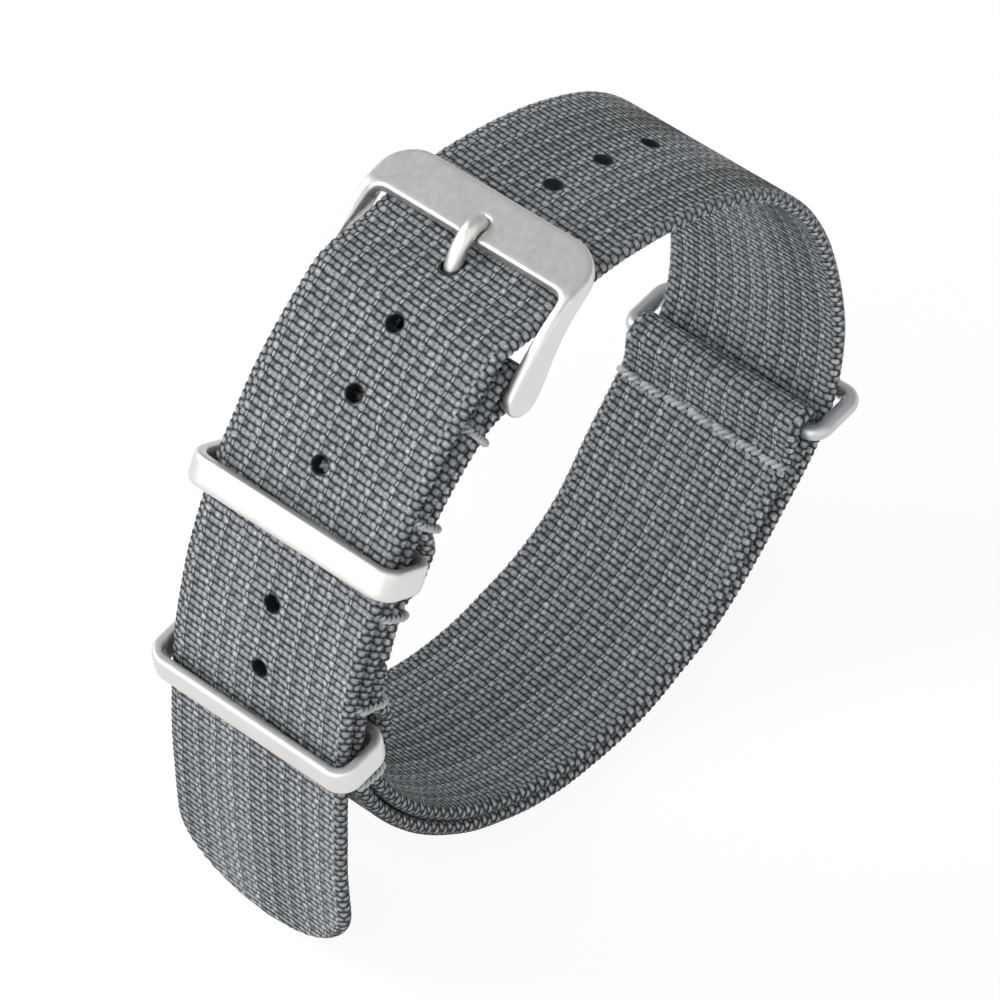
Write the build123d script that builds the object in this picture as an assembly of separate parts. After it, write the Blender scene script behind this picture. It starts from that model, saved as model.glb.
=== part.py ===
from build123d import *
from bisect import bisect_right
from math import cos, degrees, pi, radians, sin
import os

# A ribbed webbing watch strap, buckled into a loop, in millimetres.
# X runs along the loop from the tail towards the end ring, Y across the strap, Z up.

# Webbing
strap_width = 20.0            # the lug width of the watch that it carries
webbing = 1.3                 # thickness of one layer
layer_gap = 0.2               # between two sewn layers
tail_gap = 0.42               # between the tail and the layer under it
cut_gap = 0.6                 # between the folded end and the short strap beyond it

# The loop that the main strap makes round the wrist, seen from the side
loop_width = 64.4
loop_height = 60.7
loop_shares = [
    (-0.210, 0.433), (-0.357, 0.307), (-0.449, 0.142), (-0.492, -0.020),
    (-0.495, -0.111), (-0.442, -0.243), (-0.333, -0.373), (-0.187, -0.464),
    (-0.022, -0.500), (0.138, -0.478), (0.284, -0.396), (0.403, -0.277),
    (0.478, -0.174), (0.502, -0.045), (0.478, 0.118), (0.416, 0.273),
    (0.301, 0.399), (0.154, 0.467),
]
over_buckle_shares = [(1.798, 0.565), (0.626, 0.472)]     # shares of plate_front_up, from its start

# Folded ends
fold_end = 27.2               # the folded end of the main strap, from the buckle's bar
fold_neck = 4.6               # where its two layers have closed up behind the bar
ring_fold_length = 7.0        # the folded end of the short strap, behind the ring's bar
ring_seam_place = 4.5         # its stitches, from the ring's bar
ring_neck = 4.0               # where its two layers have closed up behind the ring's bar
ring_ease = 14.0              # how gently the short strap makes room for its folded end

# Holes and the rounded tip
hole_width = 1.9
tongue_hole_length = 4.6      # pulled long by the tongue
hole_pitch = 6.6
holes_to_tip = 6              # holes on the tail side of the tongue
holes_to_loop = 4             # holes on the loop side of the tongue
last_hole_to_tip = 31.8
tip_depth = 7.5               # the length of the rounded tip
tail_rise = 1.2               # how far the tail stands up behind the buckle, over tail_gap
tail_rise_reach = 15.0
holes_ahead = 0.35            # the row of holes, from the loop's end
tongue_hole_back = 1.05       # the tongue pulls its hole back under the plate
tail_leave_place = 35.5       # where the tail parts from the loop, from the buckle's bar
tail_bend_radius = 115.0      # how gently the free tail curls

# Buckle
bar_diameter = 1.5            # the pivot bar
bar_play = 0.05               # webbing and tongue round the bar
bar_seat_play = 0.02
bar_seat_depth = 0.7
buckle_side_gap = 0.35        # strap edge to buckle arm
arm_thickness = 1.15
lobe_diameter = 4.0           # the round end of each arm
lobe_start_angle = 133.0      # where the arm's upper edge leaves the lobe
lobe_end_angle = -40.0        # where its lower edge comes back to it
arm_upper_share = (0.32, 0.70)           # shares of plate_front_up, from the bar
arm_lower_shares = [(1.04, 0.80), (0.69, 0.51), (0.47, 0.21)]
plate_front_out = 5.7         # the plate's front top edge, from the bar
plate_front_up = 7.2
plate_slope = 15.0
plate_length = 5.0
plate_thickness = 1.3
plate_corner = 3.6
window_corner = 1.0

# Tongue
tongue_diameter = 1.6
tongue_rest_gap = 0.06        # between the tongue's tip and its groove in the plate
knuckle_wall = 0.62
knuckle_width = 1.8
knuckle_side_gap = 0.4        # each side of the knuckle, in the fold
tongue_shank_shares = [(0.125, 0.115), (0.37, 0.33), (0.515, 0.63)]
tongue_bend_shares = [(0.835, 1.065), (0.99, 1.07)]      # shares of plate_front_up, from the bar

# Keepers, the two flat rings
keeper_bar_width = 2.9
keeper_bar_thickness = 1.15
keeper_side_gap = 0.45
keeper_inner_gap = 0.5        # under the strap layer that it holds
keeper_outer_gap = 0.7        # over the tail
keeper_corner = 2.1
keeper_edge = 0.35
pocket_flat = 1.2             # half the flat part of a keeper's pocket
pocket_reach = 4.2            # half of a whole pocket
seam_reach = 4.4              # from a keeper to the seam each side of its pocket
keepers = {
    "upper_keeper": {"place": 18.0, "tilt": 4.0},
    "lower_keeper": {"place": 36.0, "tilt": 14.0},
}

# End ring
ring_wire = 1.65
ring_side_gap = 0.25
ring_corner = 1.15
ring_strap_gap = 1.0          # over the strap that runs through it, with the ring upright
ring_fold_gap = 0.2           # between that strap and the fold on the ring
ring_place = 119.3            # along the loop from the buckle's bar
ring_tilt = 38.0              # the ring lies over, away from its fold

# Stitches
thread_width = 0.5
thread_height = 0.3
stitch_count = 7
stitch_length = 2.1
stitch_air = 0.06
edge_loop_length = 1.0        # how far a loop of thread comes in from the strap's edge
buckle_seam_place = 4.9

# Spacing of the points on the webbing's curves
side_step = 5.0
fold_step = 1.2
course_step = 0.25
overrun = 1.0

half_width = strap_width / 2
half_web = webbing / 2
bar_radius = bar_diameter / 2
fold_radius = bar_radius + bar_play + half_web
ring_radius = ring_wire / 2
ring_fold_radius = ring_radius + bar_play + half_web
tongue_radius = tongue_diameter / 2
lobe_radius = lobe_diameter / 2
layer_step = webbing + layer_gap
tail_step = webbing + tail_gap
arm_inside = half_width + buckle_side_gap
arm_outside = arm_inside + arm_thickness


class Course:
    """The middle of a layer of webbing, seen edge on and measured along its length."""

    def __init__(self, points, first_heading=None, last_heading=None):
        self.points = points
        self.marks = [0.0]
        for last, point in zip(points, points[1:]):
            self.marks.append(self.marks[-1] + (point - last).length)
        self.length = self.marks[-1]
        behind = [points[0]] + points[:-1]
        ahead = points[1:] + [points[-1]]
        self.headings = [(b - a).normalized() for a, b in zip(behind, ahead)]
        self.headings[0] = first_heading or self.headings[0]
        self.headings[-1] = last_heading or self.headings[-1]

    def between(self, values, place):
        index = min(max(bisect_right(self.marks, place), 1), len(self.marks) - 1)
        start, end = self.marks[index - 1], self.marks[index]
        share = (place - start) / (end - start)
        return values[index - 1] * (1 - share) + values[index] * share

    def heading(self, place):
        return self.between(self.headings, place).normalized()

    def outward(self, place):
        """The direction away from the wrist, square to the strap."""
        along = self.heading(place)
        return Vector(along.Z, 0, -along.X)

    def beside(self, place, aside=0.0):
        """A point some way along, stepped aside away from the wrist."""
        return self.between(self.points, place) + self.outward(place) * aside

    def plane(self, place, aside=0.0):
        """A plane on the strap: x along it, y across it, z away from the wrist."""
        spot = self.beside(place, aside)
        return Plane(spot, x_dir=self.heading(place), z_dir=self.outward(place))


def places(start, end, pitch):
    count = max(2, round(abs(end - start) / pitch))
    return [start + (end - start) * i / count for i in range(count + 1)]


def samples(curve, length):
    return [curve.position_at(place / length) for place in places(0, length, course_step)]


def face_line(course, aside, start, end, pitch):
    """One face of the webbing, seen edge on, as a chain of arcs."""
    stops = places(start, end, pitch)
    spots = [course.beside(place, aside) for place in stops]
    middles = [course.beside((a + b) / 2, aside) for a, b in zip(stops, stops[1:])]
    return [ThreePointArc(*three) for three in zip(spots, middles, spots[1:])]


def fold_arc(centre, towards_start, apex, radius):
    """Half a turn of webbing round a bar."""
    return ThreePointArc(
        centre + towards_start * radius, centre + apex * radius, centre - towards_start * radius
    )


def end_line(course, place, side=1):
    """The cut end of a layer."""
    return Line(course.beside(place, -half_web * side), course.beside(place, half_web * side))


def across(outline):
    return extrude(make_face(outline), amount=half_width, dir=(0, 1, 0), both=True)


def smooth(share):
    share = min(max(share, 0.0), 1.0)
    return share * share * (3 - 2 * share)


# The loop course is the middle of the main strap, from over the buckle's bar to the tongue's hole
loop_points = [Vector(x * loop_width, 0, z * loop_height) for x, z in loop_shares]
loop_points += [
    loop_points[0] + Vector(x, 0, z) * plate_front_up for x, z in over_buckle_shares
]
loop = Course(samples(Spline(*loop_points), pi * loop_width))
bar_down = loop.heading(0)
bar_out = loop.outward(0)
bar_axis = loop.beside(0, -fold_radius)

keeper_bar_aside = -(half_web + keeper_inner_gap + keeper_bar_thickness / 2)
keeper_bar_span = (
    keeper_bar_thickness + keeper_inner_gap + webbing + tail_step + keeper_outer_gap
)
ring_bar_aside = -(half_web + ring_fold_gap + webbing + bar_play + ring_radius)
ring_bar_span = half_web + ring_strap_gap + ring_radius - ring_bar_aside


def inner_layer_aside(place):
    """The layer next to the wrist: sewn close, and stepped aside round each inner bar."""
    aside = -layer_step
    aside -= (2 * fold_radius - layer_step) * (1 - smooth(place / fold_neck))
    for keeper in keepers.values():
        off = abs(place - keeper["place"]) - pocket_flat
        share = 1 - smooth(off / (pocket_reach - pocket_flat))
        aside += (2 * keeper_bar_aside + layer_step) * share
    return aside


def short_strap_aside(place):
    """The short strap: makes room for its own folded end, then for the ring's bar."""
    back = ring_place - place
    over_end = 1 - smooth((back - ring_fold_length) / ring_ease)
    over_bar = 1 - smooth(back / ring_neck)
    last = ring_bar_aside - ring_fold_radius
    return inner_layer_aside(place) - layer_step * over_end + (last + 2 * layer_step) * over_bar


def ring_return_aside(place):
    """The short strap's folded end, between the short strap and the main strap."""
    over_bar = 1 - smooth((ring_place - place) / ring_neck)
    return -layer_step + (ring_bar_aside + ring_fold_radius + layer_step) * over_bar


def layer(aside_at, start, end, first_heading=None, last_heading=None):
    """A layer that follows the loop at a distance that changes along it."""
    points = [loop.beside(place, aside_at(place)) for place in places(start, end, course_step)]
    return Course(points, first_heading, last_heading)


def face_plane(aside_at, place, side):
    """A plane on one face of a layer, facing out of the webbing."""
    piece = layer(aside_at, place - fold_step, place + fold_step)
    spot = piece.plane(piece.length / 2, half_web * side)
    return Plane(spot.origin, x_dir=spot.x_dir, z_dir=spot.z_dir * side)


def tail_aside(place):
    return tail_step + tail_rise * (1 - smooth(place / tail_rise_reach))


def main_strap_course():
    """Round the loop, over the bar, through the keepers and on to the tip."""
    stops = places(0, tail_leave_place, course_step)
    tail = [loop.beside(place, tail_aside(place)) for place in stops]
    hop = (tail[0] - loop.points[-1]).length / 3
    over_bar = Bezier(
        loop.points[-1], loop.points[-1] + loop.headings[-1] * hop, tail[0] - bar_down * hop, tail[0]
    )
    bridge = samples(over_bar, over_bar.length)[1:-1]
    held = Course(loop.points + bridge + tail)
    free_length = loop.length + hole_pitch * holes_to_tip + last_hole_to_tip - held.length
    leave = held.outward(held.length) * tail_bend_radius
    centre = tail[-1] - leave
    turns = [degrees(run / tail_bend_radius) for run in places(0, free_length, course_step)[1:]]
    free = [centre + leave.rotate(Axis.Y, -turn) for turn in turns]
    return Course(loop.points + bridge + tail + free, bar_down)


strap = main_strap_course()


def hole_cutter(place, length):
    """A punched hole, with its own depth only, so that it misses the layer below."""
    hole = SlotOverall(length, hole_width) if length > hole_width else Circle(hole_width / 2)
    depth = half_web + tail_gap / 2
    return extrude(strap.plane(place) * hole, amount=depth, both=True)


def tip_cutter():
    """What the rounded tip leaves off the end of the webbing."""
    blank = Pos(-tip_depth / 2 + overrun / 2, 0) * Rectangle(
        tip_depth + overrun, strap_width + 2 * overrun
    )
    kept = Pos(-tip_depth, 0) * Ellipse(tip_depth, half_width)
    return extrude(strap.plane(strap.length) * (blank - kept), amount=webbing, both=True)


def knuckle_cutter():
    """The slot in the fold that the tongue turns in."""
    slot_width = knuckle_width + 2 * knuckle_side_gap
    reach = fold_radius + half_web + layer_gap / 2
    return Pos(*bar_axis) * Rot(90, 0, 0) * Cylinder(reach, slot_width)


def main_strap():
    folded = layer(inner_layer_aside, 0, fold_end, bar_down)
    outline = [
        *face_line(strap, half_web, 0, strap.length, side_step),
        fold_arc(bar_axis, bar_out, -bar_down, fold_radius + half_web),
        *face_line(folded, -half_web, 0, folded.length, fold_step),
        end_line(folded, folded.length),
        *face_line(folded, half_web, folded.length, 0, fold_step),
        fold_arc(bar_axis, -bar_out, -bar_down, fold_radius - half_web),
        *face_line(strap, -half_web, 0, strap.length, side_step),
        end_line(strap, strap.length),
    ]
    webbing_loop = across(outline)
    for number in range(-holes_to_loop, holes_to_tip + 1):
        length = hole_width if number else tongue_hole_length
        back = 0 if number else tongue_hole_back
        place = loop.length + holes_ahead - back + number * hole_pitch
        webbing_loop -= hole_cutter(place, length)
    return webbing_loop - tip_cutter() - knuckle_cutter()


def short_strap():
    out, along = loop.outward(ring_place), loop.heading(ring_place)
    bar = loop.beside(ring_place, ring_bar_aside)
    seen = layer(short_strap_aside, fold_end + cut_gap, ring_place, None, along)
    back = layer(ring_return_aside, ring_place - ring_fold_length, ring_place, None, along)
    outline = [
        *face_line(seen, -half_web, 0, seen.length, fold_step),
        fold_arc(bar, -out, along, ring_fold_radius + half_web),
        *face_line(back, half_web, back.length, 0, fold_step),
        end_line(back, 0, -1),
        *face_line(back, -half_web, 0, back.length, fold_step),
        fold_arc(bar, out, along, ring_fold_radius - half_web),
        *face_line(seen, half_web, seen.length, 0, fold_step),
        end_line(seen, 0, -1),
    ]
    return across(outline)


def from_bar(shares):
    """Points of the buckle's side view, given as shares of the plate's height."""
    return [Vector(x, 0, z) * plate_front_up for x, z in shares]


def turned(angle):
    return Vector(cos(radians(angle)), 0, sin(radians(angle)))


def buckle_side():
    """The buckle's side view, round the bar: a lobe, an arm that bends up, and the plate."""
    front_top = Vector(plate_front_out, 0, plate_front_up)
    slope, lift = turned(plate_slope), turned(plate_slope + 90)
    back_top = front_top + slope * plate_length
    back_bottom = back_top - lift * plate_thickness
    upper = from_bar([arm_upper_share])[0]
    lower = from_bar(arm_lower_shares)
    lobe_start, lobe_end = turned(lobe_start_angle), turned(lobe_end_angle)
    lobe_far = -(lobe_start + lobe_end).normalized()
    return [
        Line(front_top, back_top),
        Line(back_top, back_bottom),
        Spline(
            back_bottom, *lower, lobe_end * lobe_radius,
            tangents=[-slope, turned(lobe_end_angle - 90)],
        ),
        ThreePointArc(lobe_end * lobe_radius, lobe_far * lobe_radius, lobe_start * lobe_radius),
        ThreePointArc(lobe_start * lobe_radius, upper, front_top),
    ]


def bar_cylinder(radius, half_length):
    return Rot(90, 0, 0) * Cylinder(radius, 2 * half_length)


def round_rod(path, radius):
    """A round wire along a chain of straights and arcs."""
    rod = []
    for run in path:
        section = Plane(run @ 0, z_dir=run % 0) * Circle(radius)
        if run.geom_type == GeomType.LINE:
            rod.append(extrude(section, amount=run.length))
        else:
            turning = Axis(run.arc_center, (run @ 0 - run.arc_center).cross(run % 0))
            rod.append(revolve(section, turning, degrees(run.length / run.radius)))
    return rod[0].fuse(*rod[1:])


def tongue_rod(radius):
    """A round rod with a bowed shank, bent over the plate's edge, with a rounded tip."""
    path = [ThreePointArc(*from_bar(tongue_shank_shares))]
    for bend_end in from_bar(tongue_bend_shares):
        path.append(TangentArc(path[-1] @ 1, bend_end, tangent=path[-1] % 1))
    return round_rod(path, radius) + Pos(*(path[-1] @ 1)) * Sphere(radius)


def buckle_frame():
    """Two arms and a sloping plate with a window for the strap; both bar seats are blind."""
    body = extrude(make_face(buckle_side()), amount=arm_outside, dir=(0, 1, 0), both=True)
    plate = Plane(
        (plate_front_out, 0, plate_front_up),
        x_dir=turned(plate_slope), z_dir=turned(plate_slope + 90),
    )
    whole = 2 * plate_front_up + plate_length
    plan = RectangleRounded(2 * whole, 2 * arm_outside, plate_corner)
    body &= extrude(plate * Pos(plate_length - whole, 0) * plan, amount=whole, both=True)
    window = RectangleRounded(2 * whole, 2 * arm_inside, window_corner)
    body -= extrude(plate * Pos(-whole, 0) * window, amount=whole, both=True)
    under = plate * Pos(0, 0, -plate_thickness - whole / 2)
    body -= under * Box(2 * whole, 2 * arm_inside, whole)
    body -= bar_cylinder(bar_radius + bar_seat_play, arm_inside + bar_seat_depth)
    body -= tongue_rod(tongue_radius + tongue_rest_gap)
    return body


def buckle_bar():
    return bar_cylinder(bar_radius, arm_inside + bar_seat_depth - bar_seat_play)


def buckle_tongue():
    """A round rod on a rolled knuckle, through the strap and down onto the plate."""
    knuckle_radius = bar_radius + bar_play + knuckle_wall
    tongue = tongue_rod(tongue_radius) + bar_cylinder(knuckle_radius, knuckle_width / 2)
    return tongue - bar_cylinder(bar_radius + bar_play, half_width)


def keeper(place, tilt):
    """A flat ring round the strap, tilted about its inner bar."""
    width = 2 * (half_width + keeper_side_gap + keeper_bar_thickness)
    height = keeper_bar_span + keeper_bar_thickness
    outside = RectangleRounded(width, height, keeper_corner)
    inside = RectangleRounded(
        width - 2 * keeper_bar_thickness, height - 2 * keeper_bar_thickness,
        keeper_corner - keeper_bar_thickness,
    )
    section = Plane.YZ * Pos(0, keeper_bar_span / 2) * (outside - inside)
    ring = extrude(section, amount=keeper_bar_width / 2, both=True)
    ring = chamfer(ring.faces().filter_by(Axis.X).edges(), keeper_edge)
    return loop.plane(place, keeper_bar_aside) * Rot(0, tilt, 0) * ring


def end_ring():
    """A round wire bent into a flat ring, round the strap and through the short strap's fold."""
    width = strap_width + 2 * ring_side_gap + ring_wire
    middle = Plane.YZ * Pos(0, ring_bar_span / 2) * RectangleRounded(width, ring_bar_span, ring_corner)
    wire = round_rod(middle.edges(), ring_radius)
    return loop.plane(ring_place, ring_bar_aside) * Rot(0, ring_tilt, 0) * wire


def stitch(spot):
    """One stitch: a flat lens of thread that lies on the webbing, along the strap's width."""
    half = stitch_length / 2
    outline = [Line((-half, 0), (half, 0)), ThreePointArc((half, 0), (0, thread_height), (-half, 0))]
    lens = extrude(Plane.YZ * make_face(outline), amount=thread_width / 2, both=True)
    return spot * Pos(0, 0, stitch_air) * lens


def stitch_row(spot):
    pitch = strap_width / stitch_count
    first = -pitch * (stitch_count - 1) / 2
    return [stitch(spot * Pos(0, first + pitch * number, 0)) for number in range(stitch_count)]


def edge_loops(place):
    """Thread drawn over both edges of the sewn layers."""
    inside = layer_step + webbing + 2 * stitch_air
    outside = inside + 2 * thread_height
    reach = edge_loop_length + thread_height
    outer = Pos(half_width + stitch_air + thread_height - reach / 2, 0) * Rectangle(reach, outside)
    inner = Pos(half_width + stitch_air - reach / 2, 0) * Rectangle(reach, inside)
    hook = extrude(Plane.YZ * (outer - inner), amount=thread_width / 2, both=True)
    spot = loop.plane(place, -layer_step / 2)
    return [spot * Rot(0, 0, turn) * hook for turn in (0, 180)]


def seam(place):
    """A row of stitches seen on both faces, and over both edges."""
    on_main = face_plane(lambda along: 0, place, 1)
    on_inner = face_plane(inner_layer_aside, place, -1)
    return Compound([*stitch_row(on_main), *stitch_row(on_inner), *edge_loops(place)])


def ring_seam():
    spot = face_plane(short_strap_aside, ring_place - ring_seam_place, -1)
    return Compound(stitch_row(spot))


upper, lower = keepers["upper_keeper"]["place"], keepers["lower_keeper"]["place"]
solids = {
    "main_strap": main_strap(),
    "short_strap": short_strap(),
    "buckle_frame": Pos(*bar_axis) * buckle_frame(),
    "buckle_bar": Pos(*bar_axis) * buckle_bar(),
    "buckle_tongue": Pos(*bar_axis) * buckle_tongue(),
    "end_ring": end_ring(),
    "buckle_fold_stitches": seam(buckle_seam_place),
    "upper_keeper_upper_stitches": seam(upper - seam_reach),
    "upper_keeper_lower_stitches": seam(upper + seam_reach),
    "lower_keeper_upper_stitches": seam(lower - seam_reach),
    "lower_keeper_lower_stitches": seam(lower + seam_reach),
    "ring_fold_stitches": ring_seam(),
}
for name, values in keepers.items():
    solids[name] = keeper(**values)

# The origin goes to the middle of the underside of the whole thing
box = Compound([solid for shape in solids.values() for solid in shape.solids()]).bounding_box()
to_origin = Pos(-(box.min.X + box.max.X) / 2, 0, -box.min.Z)

os.makedirs("parts", exist_ok=True)
for name, solid in solids.items():
    export_step(to_origin * solid, f"parts/{name}.step")

turning_axes = {
    "buckle bar": bar_axis,
    "end ring's inner bar": loop.beside(ring_place, ring_bar_aside),
}
for name, values in keepers.items():
    turning_axes[f"{name}'s inner bar"] = loop.beside(values["place"], keeper_bar_aside)
for name, spot in turning_axes.items():
    moved = spot + to_origin.position
    print(f"{name}: x {moved.X:.3f}, z {moved.Z:.3f}")
print(f"{len(solids)} pieces, {box.size.X:.2f} x {box.size.Y:.2f} x {box.size.Z:.2f} mm")
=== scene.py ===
# %% [markdown]
# # A woven watch strap, dressed piece by piece
# The strap is one long ribbed webbing with a buckle, two flat keepers and a round ring on it.
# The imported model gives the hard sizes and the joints. This lesson gives each piece the surface
# that the real one has: cloth that is really bent along its course, thread, and satin steel.
# Everything is in metres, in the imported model's own frame.

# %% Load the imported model
from math import cos, pi, radians, sin

import bpy
import numpy as np
from mathutils import Matrix, Vector


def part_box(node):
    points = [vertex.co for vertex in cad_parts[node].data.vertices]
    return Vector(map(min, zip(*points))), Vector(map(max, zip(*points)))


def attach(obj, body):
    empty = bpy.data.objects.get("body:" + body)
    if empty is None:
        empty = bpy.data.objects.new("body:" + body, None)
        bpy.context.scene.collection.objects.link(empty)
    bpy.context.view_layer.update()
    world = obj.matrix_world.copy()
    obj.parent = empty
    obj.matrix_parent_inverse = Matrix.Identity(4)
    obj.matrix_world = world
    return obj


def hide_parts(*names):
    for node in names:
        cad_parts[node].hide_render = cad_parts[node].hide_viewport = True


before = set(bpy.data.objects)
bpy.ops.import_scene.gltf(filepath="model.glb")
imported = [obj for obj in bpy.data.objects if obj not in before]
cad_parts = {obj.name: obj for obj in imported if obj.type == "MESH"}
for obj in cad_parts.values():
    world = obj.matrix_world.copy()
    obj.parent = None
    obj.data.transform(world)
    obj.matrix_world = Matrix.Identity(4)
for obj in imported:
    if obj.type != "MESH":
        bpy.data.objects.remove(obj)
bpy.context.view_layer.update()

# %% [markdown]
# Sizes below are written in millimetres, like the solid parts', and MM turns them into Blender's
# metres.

MM = 0.001

# %% [markdown]
# ## The camera
# The photograph was taken from high up on the tail's side, with a long lens, so that far edges are
# hardly shorter than near ones. The three directions below are the picture's right, its up, and
# the line back to the lens. A long lens far away gives the same calm perspective. It looks at a
# point inside the loop that is measured from the buckle's bar.

# %% Camera
LOOK_FROM_BAR = (9.762, 0, -27.243)
PICTURE_RIGHT = (0.6595, -0.7517, 0)
PICTURE_UP = (0.538, 0.472, 0.698)
LENS, SENSOR, LENS_AWAY = 212.2, 36, 515.1

bar_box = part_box("buckle_bar")
bar_middle = (Vector(bar_box[0]) + Vector(bar_box[1])) / 2
look_at = bar_middle + Vector(LOOK_FROM_BAR) * MM
picture_right = Vector(PICTURE_RIGHT).normalized()
picture_up = Vector(PICTURE_UP).normalized()
to_lens = picture_right.cross(picture_up).normalized()
picture_up = to_lens.cross(picture_right)

camera = bpy.data.objects.new("camera", bpy.data.cameras.new("camera"))
camera.data.sensor_width = SENSOR
camera.data.lens = LENS
camera.data.clip_start = 0.02
camera.data.clip_end = 20
camera.matrix_world = Matrix.Translation(look_at + to_lens * LENS_AWAY * MM) @ Matrix(
    (picture_right, picture_up, to_lens)
).transposed().to_4x4()
bpy.context.scene.collection.objects.link(camera)
bpy.context.scene.camera = camera
bpy.context.scene.view_settings.view_transform = "Standard"
print("camera at", [round(x / MM, 1) for x in camera.location])

# %% [markdown]
# ## Node helpers
# A finish in Blender is a small network of nodes. These helpers keep each finish short to write:
# one adds a node, one does a sum, others stretch a value, mottle it, turn it into a colour or into
# relief, and one starts a new material.

# %% Node helpers
def add(tree, kind, **settings):
    """A new node in a tree, with its settings."""
    node = tree.nodes.new(kind)
    for name, value in settings.items():
        setattr(node, name, value)
    return node


def feed(tree, socket, value):
    """A value or another node's output, put into a socket."""
    if isinstance(value, bpy.types.NodeSocket):
        tree.links.new(value, socket)
    else:
        socket.default_value = value


def maths(tree, operation, *values, clamp=False):
    """One sum."""
    node = add(tree, "ShaderNodeMath", operation=operation, use_clamp=clamp)
    for socket, value in zip(node.inputs, values):
        feed(tree, socket, value)
    return node.outputs[0]


def times(tree, *values):
    return maths(tree, "MULTIPLY", *values)


def spread(tree, value, low, high, to_low=0.0, to_high=1.0, kind="SMOOTHSTEP"):
    """A value between low and high, stretched smoothly to a new range."""
    node = add(tree, "ShaderNodeMapRange", interpolation_type=kind)
    for socket, number in zip(node.inputs, (value, low, high, to_low, to_high)):
        feed(tree, socket, number)
    return node.outputs[0]


def split(tree, vector):
    """A vector's X, Y and Z, each by its letter."""
    node = add(tree, "ShaderNodeSeparateXYZ")
    tree.links.new(vector, node.inputs[0])
    return node.outputs


def mottle(tree, place, scale, detail=2.0, roughness=0.5):
    """Soft random patches."""
    node = add(tree, "ShaderNodeTexNoise")
    feed(tree, node.inputs["Vector"], place)
    node.inputs["Scale"].default_value = scale
    node.inputs["Detail"].default_value = detail
    node.inputs["Roughness"].default_value = roughness
    return node.outputs["Fac"]


def blend(tree, share, first, second):
    """From one colour to another as share goes from 0 to 1."""
    node = add(tree, "ShaderNodeMix", data_type="RGBA")
    for socket, value in zip((node.inputs[0], node.inputs[6], node.inputs[7]), (share, first, second)):
        feed(tree, socket, value)
    return node.outputs[2]


def tint(tree, value, stops):
    """A value turned into a colour."""
    node = add(tree, "ShaderNodeValToRGB")
    ramp = node.color_ramp.elements
    while len(ramp) < len(stops):
        ramp.new(0.5)
    for element, (position, colour) in zip(ramp, stops):
        element.position = position
        element.color = (*colour, 1)
    feed(tree, node.inputs[0], value)
    return node.outputs["Color"]


def finish(name, **sockets):
    """A new material, its tree and its shader."""
    material = bpy.data.materials.new(name)
    material.use_nodes = True
    tree = material.node_tree
    shader = tree.nodes["Principled BSDF"]
    for socket, value in sockets.items():
        shader.inputs[socket.replace("_", " ")].default_value = value
    return material, tree, shader


def bumped(tree, shader, height, depth):
    """Relief, as high as depth in metres, where height is 1."""
    node = add(tree, "ShaderNodeBump")
    node.inputs["Distance"].default_value = depth
    feed(tree, node.inputs["Height"], height)
    tree.links.new(node.outputs[0], shader.inputs["Normal"])


# %% [markdown]
# ## Floor and light
# The strap stands on a plain white table in soft light. The floor is a large white sheet. Seen by
# the camera, and in the steel's reflections, most of its white is its own, so it stays white at
# any angle, and the rest is lit, so that the strap's soft shadow still falls on it.

# %% Floor
def background_rays(tree):
    """1 for what the camera sees directly, in reflections or through glass."""
    rays = add(tree, "ShaderNodeLightPath").outputs
    straight = maths(tree, "MAXIMUM", rays["Is Camera Ray"], rays["Is Glossy Ray"])
    return maths(tree, "MAXIMUM", straight, rays["Is Transmission Ray"])


FLOOR_SIZE = 6
OWN_WHITE, OWN_SHARE = 1.03, 0.88

bpy.ops.mesh.primitive_plane_add(size=FLOOR_SIZE)
floor = bpy.context.object
floor.name = "floor"
paper, tree, shader = finish("white_table", Roughness=0.9, Base_Color=(0.86, 0.86, 0.86, 1))
glow = add(tree, "ShaderNodeEmission")
glow.inputs["Strength"].default_value = OWN_WHITE
both = add(tree, "ShaderNodeMixShader")
tree.links.new(times(tree, background_rays(tree), OWN_SHARE), both.inputs[0])
tree.links.new(shader.outputs[0], both.inputs[1])
tree.links.new(glow.outputs[0], both.inputs[2])
tree.links.new(both.outputs[0], tree.nodes["Material Output"].inputs["Surface"])
floor.data.materials.append(paper)

# %% [markdown]
# The light is a big soft panel low on the left, as in the photograph, where the free end is the
# brightest cloth and the keepers' fronts are nearly white. A weaker one fills the edges from the
# front, and a smaller one high on the left shapes the weave's pillows. The room gives the rest, with
# a ceiling brighter than its walls. To the camera and in reflections the walls' lower part is as
# white as the floor, so no horizon shows when the strap is seen from low down.

# %% Lamps and room
def panel(name, direction, distance, size, watts):
    """A square soft lamp that looks at the strap."""
    lamp = bpy.data.objects.new(name, bpy.data.lights.new(name, "AREA"))
    lamp.data.size = size
    lamp.data.energy = watts
    away = Vector(direction).normalized()
    lamp.location = look_at + away * distance
    lamp.rotation_euler = away.to_track_quat("Z", "Y").to_euler()
    bpy.context.scene.collection.objects.link(lamp)


panel("left_panel", (-0.95, 0.0, 0.35), 1.0, 1.1, 7.2)
panel("front_panel", (-0.3, -0.8, 0.5), 1.0, 1.0, 2.1)
panel("high_left_panel", (-0.42, 0.72, 0.55), 0.9, 0.4, 4.2)

WALL_LIGHT, CEILING_LIGHT = 0.33, 0.5
WHITE_UP_TO, WHITE_ENDS = 0.08, 0.4

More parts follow.
